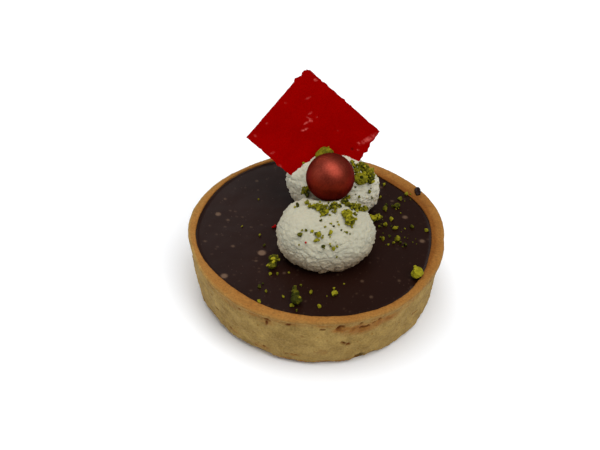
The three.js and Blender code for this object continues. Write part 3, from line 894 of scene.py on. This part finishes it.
# %% Lean it in place
lean = Euler((math.radians(90 - PLAQUE_LEAN), 0, 0)).to_matrix().to_4x4()
turned = Euler((0, 0, math.radians(PLAQUE_TURN))).to_matrix().to_4x4()
plaque.data.transform(lean @ turned)
low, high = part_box("plaque")
rows = places(plaque)
middle = Vector((rows.min(axis=0) + rows.max(axis=0)) / 2) * MM
plaque.data.transform(Matrix.Translation((low + high) / 2 - middle))
plaque.data.shade_smooth()
bpy.context.view_layer.objects.active = plaque
plaque.select_set(True)
bpy.ops.object.shade_smooth_by_angle(angle=math.radians(50))
# The height lets the material paint the lower part brighter: painted bounce light from the cream.
label(plaque, "height", (places(plaque)[:, 2] - low.z / MM) / ((high.z - low.z) / MM))
print("the plaque's tip is at", round(high.z / MM, 1), "mm")


# %% The finish of coloured chocolate
def coloured_chocolate():
    """White chocolate dyed red and spread on film. To the eye: deep red, satin, with pale scuffs and painted
    light.
    """
    material, tree, place = new_material("red_coloured_chocolate")
    scuffed, dented, height = (
        node(tree, "ShaderNodeAttribute", attribute_name=name).outputs["Fac"]
        for name in ("scuffed", "dented", "height")
    )
    clouds, grain, strokes = (
        node(tree, "ShaderNodeTexNoise", {"Vector": place, "Scale": per(size), "Detail": detail})
        for size, detail in ((6, 3), (0.5, 3), (0.7, 4))
    )
    colour = node(tree, "ShaderNodeMix", {
        MIX_FACTOR: clouds, MIX_A: linear("#7f0000"), MIX_B: linear("#920100"),
    }, data_type="RGBA")
    # Low down it is painted brighter, as bounce light from the cream. The grain varies it at random.
    for measure, least, most, at_least, at_most in (
        (height, 0.1, 0.6, 1.25, 1), (grain, 0.3, 0.7, 0.9, 1.08),
    ):
        lightness = node(tree, "ShaderNodeMapRange", {
            "Value": measure, "From Min": least, "From Max": most, "To Min": at_least, "To Max": at_most,
        })
        colour = node(tree, "ShaderNodeHueSaturation", {"Color": colour, "Value": lightness})
    broken = node(tree, "ShaderNodeMapRange", {
        "Value": strokes, "From Min": 0.42, "From Max": 0.62, "To Min": 0.1, "To Max": 1,
    })
    scratched = node(tree, "ShaderNodeMath", {0: scuffed, 1: broken}, operation="MULTIPLY")
    for share, tone in ((scratched, "#f0706a"), (dented, "#5a0808")):
        colour = node(tree, "ShaderNodeMix", {
            MIX_FACTOR: share, MIX_A: colour, MIX_B: linear(tone),
        }, data_type="RGBA")
    return close_material(material, tree, colour, grain, 0.25, 0.06, {
        "Roughness": 0.5, "IOR": 1.45, "Specular IOR Level": 0.12, "Specular Tint": linear("#ff3020"),
    })


plaque_finish = coloured_chocolate()
finish_material(plaque, plaque_finish)
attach(plaque, "root")
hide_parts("plaque")

# %% [markdown]
# ## Chopped pistachio
# A knife breaks the nut into angular bits: a few lumps of 3 to 4 mm, and many crumbs down to half a
# millimetre. We chop a handful of kinds once, from rough balls cut by flat planes, and copy them turned and
# scaled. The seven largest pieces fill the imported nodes, each with its own lumps and a coat of crumbs, and
# the rest is strewn where a ray from above lands.

# %% Chop the kinds of crumb
def some_way(chance):
    """A direction that chance picks."""
    return Vector([chance.gauss(0, 1) for _ in range(3)]).normalized()


def chop(name, seed, subdivisions, cuts, roughness):
    """One bit of nut, about 1 mm across, round its middle: a rough ball with flat faces cut off it."""
    chance = random.Random(seed)
    bit = begin(bpy.ops.mesh.primitive_ico_sphere_add, name, subdivisions=subdivisions, radius=0.55 * MM)
    bpy.ops.object.mode_set(mode="EDIT")
    for _ in range(cuts):
        out = some_way(chance)
        bpy.ops.mesh.select_all(action="SELECT")
        bpy.ops.mesh.bisect(
            plane_co=out * chance.uniform(0.22, 0.44) * MM, plane_no=out, clear_outer=True, use_fill=True,
        )
    bpy.ops.mesh.select_all(action="SELECT")
    bpy.ops.mesh.quads_convert_to_tris()
    bpy.ops.transform.vertex_random(offset=roughness * MM, seed=seed)
    bpy.ops.mesh.normals_make_consistent(inside=False)
    bpy.ops.object.mode_set(mode="OBJECT")
    return bit


crumb_kinds = [chop(f"crumb_kind_{seed}", seed, 2, 7, 0.05) for seed in range(9)]
print("faces of a crumb:", [len(kind.data.polygons) for kind in crumb_kinds])


# %% Break a lump of nut
def broken_nut(middle, sides, tint, crags, seed):
    """A lump of nut, in place, with a few broken faces and a craggy skin. Middle, sides and crags in mm."""
    lump = begin(bpy.ops.mesh.primitive_ico_sphere_add, "lump", subdivisions=5, radius=0.5 * MM)
    chance = random.Random(seed)
    rows = places(lump)
    for _ in range(5):
        out = np.array(some_way(chance))
        beyond = rows @ out - chance.uniform(0.3, 0.44)
        rows -= np.outer(np.clip(beyond, 0, None) * 0.85, out)
    rows = rows * sides * [chance.uniform(0.95, 1.1) for _ in range(3)]
    skin = crags * (wander(rows, 1.0, seed) + 0.6 * wander(rows, 0.4, seed))
    rows += rows / np.linalg.norm(rows, axis=1, keepdims=True) * skin[:, None]
    put_back(lump, rows + middle)
    label(lump, "tint", tint + 0.3 * wander(rows, 1.6, seed))
    return lump


# %% Copy, turn and join crumbs
def join(name, bits):
    """Joins bits into one piece."""
    bpy.ops.object.select_all(action="DESELECT")
    for bit in bits:
        bit.select_set(True)
    bpy.context.view_layer.objects.active = bits[0]
    bpy.ops.object.join()
    whole = bpy.context.object
    whole.name = name
    whole.data.name = name
    return whole


def crumbs_at(spots, chance, tints=(0, 1)):
    """A turned and stretched copy of some kind at each spot: a place and a size, both in mm."""
    bits = []
    for place, across in spots:
        bit = bpy.data.objects.new("crumb", chance.choice(crumb_kinds).data.copy())
        bpy.context.scene.collection.objects.link(bit)
        turned = Euler([chance.uniform(0, math.tau) for _ in range(3)]).to_matrix().to_4x4()
        stretch = Matrix.Diagonal([across * chance.uniform(0.65, 1.35) for _ in range(3)] + [1])
        bit.data.transform(Matrix.Translation(Vector(place) * MM) @ turned @ stretch)
        label(bit, "tint", np.full(len(bit.data.vertices), chance.uniform(*tints)))
        bits.append(bit)
    return bits


# %% What each large piece is made of
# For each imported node: its lumps, as place from the node's middle, sides and tint; how deep the crags in
# their skin are; and how many crumbs coat them.
HEAPS = {
    "pistachio_behind_pearl": ([
        ((-0.6, 0, 0.2), (5.6, 4.4, 4.4), 0.4), ((1.9, 0, -1.1), (5, 3.4, 3), 0.2),
    ], 0.2, 6),
    "pistachio_back_right": ([
        ((-0.9, -2.0, -0.4), (4.1, 4, 3.6), 0.55), ((2.0, -0.3, -1.3), (4, 4, 3.4), 0.1),
        ((1.0, 1.5, 0.1), (4.4, 3.8, 3.4), 0.3), ((-0.5, 2.2, 1.0), (3.6, 3, 3), 0.3),
        ((-2.5, 0.8, 0.8), (2.8, 2.4, 2.4), 0.6),
    ], 0.3, 110),
    "pistachio_front": ([
        ((-0.5, 1.1, 0.1), (2.9, 2.9, 2.6), 0.6), ((0.4, -1.0, -0.2), (2.9, 3, 2.6), 0.35),
    ], 0.3, 40),
    "pistachio_saddle": ([
        ((-0.7, -0.3, 0), (2.5, 2.3, 2.2), 0.8), ((0.9, 0.4, 0.1), (2, 1.9, 1.9), 0.7),
    ], 0.25, 16),
    "pistachio_rim": ([((0, 0, 0), (3.7, 3.5, 3.5), 0.7)], 0.25, 4),
    "pistachio_left": ([
        ((0.1, 1.3, 0.1), (2.9, 2.4, 2.3), 0.15), ((-0.1, -1.4, -0.1), (2.6, 2.5, 2.3), 0.12),
    ], 0.35, 14),
    "pistachio_low_front": ([
        ((-0.7, 2.2, 0), (1.3, 2.6, 1.6), 0.15), ((-0.4, 0.5, 0), (2.2, 3, 2.1), 0.08),
        ((0.1, -1.6, -0.1), (3.2, 3.2, 2.4), 0.05),
    ], 0.25, 3),
}
print("lumps:", sum(len(lumps) for lumps, _, _ in HEAPS.values()))

# %% Build the seven large pieces
heaps = []
for seed, (node_name, (lumps, crags, coat)) in enumerate(HEAPS.items()):
    low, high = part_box(node_name)
    middle = (low + high) / 2 / MM
    chance = random.Random(seed + 40)
    bits = [
        broken_nut(middle + Vector(place), sides, tint, crags, seed * 10 + index)
        for index, (place, sides, tint) in enumerate(lumps)
    ]
    spots = []
    while len(spots) < coat:
        lump = chance.choice(bits)
        vertex = chance.choice(lump.data.vertices)
        if vertex.normal.z > -0.3:
            spots.append((vertex.co / MM, 0.4 + 0.9 * chance.random() ** 2))
    heap = join(node_name.replace("pistachio", "nut_heap"), bits + crumbs_at(spots, chance))
    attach(heap, "root")
    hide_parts(node_name)
    heaps.append(heap)
print("large pieces:", [heap.name for heap in heaps])

# %% [markdown]
# ### Strew the small crumbs
# Most crumbs fell in a loose band on the front dollop, just below the pearl, and in a drift over the ganache
# to the right. A few strays lie everywhere else. For each crumb we only say where it is seen from above; a
# ray finds the skin that it lies on, whichever piece that is.

# %% Find where a crumb lands
ABOVE_ALL = 80  # mm, higher than the plaque's tip
landing_pieces = (cream_front, cream_back, fill, shell)
depsgraph = bpy.context.evaluated_depsgraph_get()
skins = [BVHTree.FromObject(piece, depsgraph) for piece in landing_pieces]


def landing(x, y, across, heaped=0.0):
    """The middle of a crumb that lies, a little sunk or heaped on others, on the top skin under a place."""
    above = Vector((x, y, ABOVE_ALL)) * MM
    hits = [skin.ray_cast(above, Vector((0, 0, -1))) for skin in skins]
    point, normal = max((hit[:2] for hit in hits if hit[0]), key=lambda hit: hit[0].z)
    return point / MM + normal * (across * 0.3 + heaped)


print("crumbs can land on", [piece.name for piece in landing_pieces])

# %% Where the crumbs fell
# Bands of crumbs: the bends of a line, how many crumbs, how wide the band is, and their least and most size.
BANDS = [
    ([(-3.5, -5.1), (-3, -6), (-2.1, -7.4)], 26, 0.5, 0.4, 1.0),
    ([(-1.2, -7.5), (0.2, -8.4), (1.2, -9.8), (2, -11.4)], 90, 1.0, 0.4, 1.1),
    ([(0.9, -7.7), (2.9, -9.3), (4.4, -8.4), (4.7, -6.5)], 80, 0.8, 0.4, 1.1),
    ([(4.8, -10.1), (5.3, -7.8), (6.5, -6.9)], 34, 0.6, 0.4, 0.9),
    ([(7.6, -4.6), (8.6, -6), (10.4, -6.1), (12, -3.4)], 120, 1.1, 0.4, 1.2),
    ([(8, 3), (9, 3)], 24, 1.0, 0.5, 1.2),
    ([(10.2, -7.2), (12.9, -4.8), (14.3, -2.6)], 60, 0.8, 0.4, 1.1),
    ([(-5.2, 6), (-3.4, 5.6)], 50, 1.0, 0.6, 1.5),
    ([(9.6, 11.3), (11.2, 10.6)], 22, 0.6, 0.4, 1.0),
]
# Single crumbs and clumps: the place, the size, and how many bits they are made of.
SINGLES = [
    (-6.1, -6.4, 1.3, 5), (-4.9, -17.2, 1.5, 7), (-1.3, -16.9, 1, 3), (0.3, -17.6, 2.3, 16),
    (1.7, -18.1, 0.9, 3), (-3.3, -16.1, 0.9, 2), (0.9, -13.4, 0.9, 2), (0.8, -11.8, 0.7, 1),
    (2.4, -15, 0.7, 1), (4, -14.1, 0.9, 2), (4.7, -14.9, 0.9, 2), (3.9, -16.4, 1.6, 8), (6, -12.9, 0.5, 1),
    (6.2, -13.9, 0.7, 1), (7.1, -15.4, 0.5, 1), (8.6, -15.7, 1.2, 4), (10.2, -14, 0.8, 2),
    (11.1, -10.7, 0.9, 3), (11, -8.7, 1.2, 5), (-5.1, -18.9, 0.5, 1), (1.9, -20, 1.2, 4),
    (5, -19.8, 1.6, 7), (5.8, -19.2, 1, 3), (-0.3, -19.1, 0.3, 1), (0.4, -4.9, 0.8, 2),
    (3.2, -5.6, 0.7, 2), (5.6, -5.8, 0.4, 1), (3.5, -11.1, 0.8, 2), (11.4, 4.4, 0.5, 1),
    (12.5, 4.2, 0.8, 2), (15.4, 6.5, 1, 2), (16.6, 6.6, 0.9, 2), (11.1, 3.2, 0.7, 1), (11.1, 5.4, 0.7, 1),
    (16.2, 7.7, 0.4, 1), (-5, 12.5, 0.7, 1), (21.5, 24.5, 1.3, 2), (28.7, 20.2, 1.4, 3),
    (26.6, 17.4, 1.5, 3), (25.5, 13.8, 1.9, 5), (21.9, 14.1, 1, 2), (21.6, 12.1, 1.5, 4), (20.2, 18, 1, 1),
    (23.4, 7.1, 1.3, 3), (21.4, 4.5, 1.3, 3), (19.5, 3.1, 1.1, 2), (24.5, 2.9, 1.7, 4),
    (29.8, 3.9, 1.4, 4), (34.3, 2.5, 1.2, 2), (20.5, -2.6, 1.3, 4), (22.8, -1.1, 1.1, 2),
    (25, -2.4, 2.1, 8), (27.4, -5, 1.6, 4), (22.1, -4.9, 0.9, 2), (-17.8, -3.2, 1, 2),
    (-16.2, -7.8, 1.1, 2), (-23.7, 0.8, 0.7, 1), (-19.5, 14.5, 0.7, 1), (-7.9, -19.4, 0.8, 1),
    (-16.2, -25.9, 1.1, 2), (-14.2, -27.9, 0.9, 1), (-15.4, -24.5, 0.6, 1), (-4.1, -24.7, 0.7, 1),
    (-1, -27.5, 1.3, 3), (-9.1, -29.6, 0.8, 1), (-16, -32.1, 1.1, 3), (-6.4, -33.2, 1.3, 4),
    (-4.9, -35.1, 0.7, 1), (1.5, -33.1, 1.2, 3), (8.6, -23.2, 0.5, 1), (5.7, -25.4, 0.8, 1),
    (5.8, -27.9, 2, 8), (3.6, -28.5, 0.5, 1), (-11.3, -20.2, 0.8, 1), (-13.5, -20.5, 0.9, 1),
    (-10.9, -0.5, 1.6, 6),
]
DRIFT = 26  # stray specks in the drift on the right
print("crumbs in bands:", sum(count for _, count, _, _, _ in BANDS))

# %% Strew the crumbs
chance = random.Random(5)
spots = []
for bends, count, width, smallest, largest in BANDS:
    for _ in range(count):
        leg = chance.randrange(len(bends) - 1)
        share = chance.random()
        x, y = (
            near * (1 - share) + far * share + chance.gauss(0, width / 2)
            for near, far in zip(bends[leg], bends[leg + 1])
        )
        across = smallest + (largest - smallest) * chance.random() ** 2
        spots.append((landing(x, y, across, chance.uniform(0, 0.7)), across))
for x, y, size, bits in SINGLES:
    spots.append((landing(x, y, size), size))
    for _ in range(bits // 2):
        across = size * chance.uniform(0.25, 0.5)
        dx, dy = chance.gauss(0, 0.4 * size), chance.gauss(0, 0.4 * size)
        spots.append((landing(x + dx, y + dy, across, chance.uniform(0, 0.3)), across))
for _ in range(DRIFT):
    x, y = chance.uniform(18, 31), chance.uniform(-6, 19)
    spots.append((landing(x, y, 0.4), chance.uniform(0.3, 0.6)))
on_cream = [spot for spot in spots if spot[0].z > ganache_top + 3]
beside = [spot for spot in spots if spot[0].z <= ganache_top + 3]
bits = crumbs_at(on_cream, chance, (0, 0.75)) + crumbs_at(beside, chance, (0.05, 0.65))
crumbs = join("pistachio_crumbs", bits)
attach(crumbs, "root")
print("crumbs strewn:", len(spots))


# %% The finish of chopped pistachio
def chopped_pistachio():
    """The nut's flesh, green to yellow, darker where skin is left. To the eye: matt olive green, uneven."""
    material, tree, place = new_material("chopped_pistachio")
    tint = node(tree, "ShaderNodeAttribute", attribute_name="tint").outputs["Fac"]
    flesh = node(tree, "ShaderNodeTexNoise", {"Vector": place, "Scale": per(0.9), "Detail": 3})
    shade = node(tree, "ShaderNodeMath", {0: tint, 1: flesh}, operation="ADD")
    share = node(tree, "ShaderNodeMapRange", {"Value": shade, "From Min": 0.54, "From Max": 1.34})
    colour = node(tree, "ShaderNodeMix", {
        MIX_FACTOR: share, MIX_A: linear("#2c2e01"), MIX_B: linear("#928a17"),
    }, data_type="RGBA")
    return close_material(material, tree, colour, flesh, 0.5, 0.15, {
        "Roughness": 0.75, "IOR": 1.45, "Specular IOR Level": 0.12,
    })


pistachio_finish = chopped_pistachio()
for piece in heaps + [crumbs]:
    finish_material(piece, pistachio_finish)

# %% [markdown]
# ### Stray bits of other colours
# Three crumbs broke off the red plaque, and a drop of ganache dried on top of the rim at the back right.
# They are tiny, but they tell that the tartlet was dressed by hand.

# %% Red crumbs and the drop on the rim
RED_CRUMBS = [(-13.3, 1.3, 1.3), (-13.9, 0.9, 0.8), (-3.1, -19.2, 0.6)]  # place and size
red_spots = [(landing(x, y, across), across) for x, y, across in RED_CRUMBS]
red_crumbs = join("red_crumbs", crumbs_at(red_spots, random.Random(8)))
finish_material(red_crumbs, plaque_finish)
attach(red_crumbs, "root")

DROP_BEARING, DROP_RADIUS = 33.2, 38.8
DROP_HALF = (1.05, 1.95, 0.8)  # half its width, depth and height
round_rim = Matrix.Rotation(math.radians(DROP_BEARING), 3, "Z")
drop_middle = round_rim @ Vector((DROP_RADIUS, 0, SHELL_HEIGHT + 0.1))
drop = begin(bpy.ops.mesh.primitive_ico_sphere_add, "ganache_drop", subdivisions=5, radius=MM)
rows = places(drop) * DROP_HALF
rows += 0.18 * wander(rows, 1.1)[:, None] * rows + drop_middle
put_back(drop, rows)
drop.data.shade_smooth()
finish_material(drop, fill.data.materials[0])
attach(drop, "root")
for kind in crumb_kinds:  # these were only there to be copied
    bpy.data.objects.remove(kind)
print("stray bits:", red_crumbs.name, "and", drop.name)

# %% [markdown]
# ## Floor, light and camera
# The tartlet stands on a plain pale floor under one very large, soft light, nearly overhead, so that its
# shadow is a faint halo with a dark line where the foot meets the floor. Two cards, on the left and behind,
# lift the sides a little, and the world adds a dim even grey.

# %% Set the stage
def plain_paint(name, colour, roughness):
    """Matt studio paint, one even colour."""
    material, tree, _ = new_material(name)
    shader = node(tree, "ShaderNodeBsdfPrincipled", {
        "Base Color": linear(colour), "Roughness": roughness, "Specular IOR Level": 0,
    })
    node(tree, "ShaderNodeOutputMaterial", {"Surface": shader})
    return material


floor = begin(bpy.ops.mesh.primitive_plane_add, "floor", size=4)
finish_material(floor, plain_paint("matt_white_paint", "#f7f9fc", 1))


# %% Hang the lights
def hang_light(name, place, length, width, along, watts):
    """A softbox that faces the tartlet, with its length along a direction. Places and sizes in metres."""
    light = bpy.data.objects.new(name, bpy.data.lights.new(name, "AREA"))
    bpy.context.scene.collection.objects.link(light)
    light.data.shape = "RECTANGLE"
    light.data.size, light.data.size_y = length, width
    light.data.energy = watts
    backwards = Vector(place).normalized()
    lengthways = (Vector(along) - Vector(along).project(backwards)).normalized()
    axes = Matrix((lengthways, backwards.cross(lengthways), backwards))
    light.rotation_euler = axes.transposed().to_euler()
    light.location = place


hang_light("softbox_above", (0.28, -0.28, 1.33), 2.2, 0.8, (1.3, -1, -0.5), 24)
hang_light("card_left", (-0.9, -0.25, 0.45), 0.8, 0.6, (0, 1, 0), 2.2)
hang_light("card_back", (-0.5, 1, 0.6), 0.9, 0.5, (1, 0, 0), 3.2)

world = bpy.data.worlds.new("studio")
bpy.context.scene.world = world
world.use_nodes = True
sky = world.node_tree.nodes["Background"]
sky.inputs["Color"].default_value = (1, 1, 1, 1)
sky.inputs["Strength"].default_value = 0.235
bpy.context.scene.view_settings.view_transform = "Standard"

# %% Place the camera
CAMERA_PLACE = Vector((0, -238.4, 228.2)) * MM
CAMERA_AIM = Vector((-5.5, 3.4, 20)) * MM
CAMERA_ROLL = math.radians(1.53)
camera = bpy.data.objects.new("camera", bpy.data.cameras.new("camera"))
bpy.context.scene.collection.objects.link(camera)
camera.data.lens = 60.46
camera.data.sensor_width = 36
camera.data.clip_start = 0.01
camera.location = CAMERA_PLACE
look = (CAMERA_AIM - CAMERA_PLACE).to_track_quat("-Z", "Y").to_matrix().to_4x4()
camera.rotation_euler = (look @ Matrix.Rotation(CAMERA_ROLL, 4, "Z")).to_euler()
bpy.context.scene.camera = camera
print("camera height", round(camera.location.z / MM), "mm")
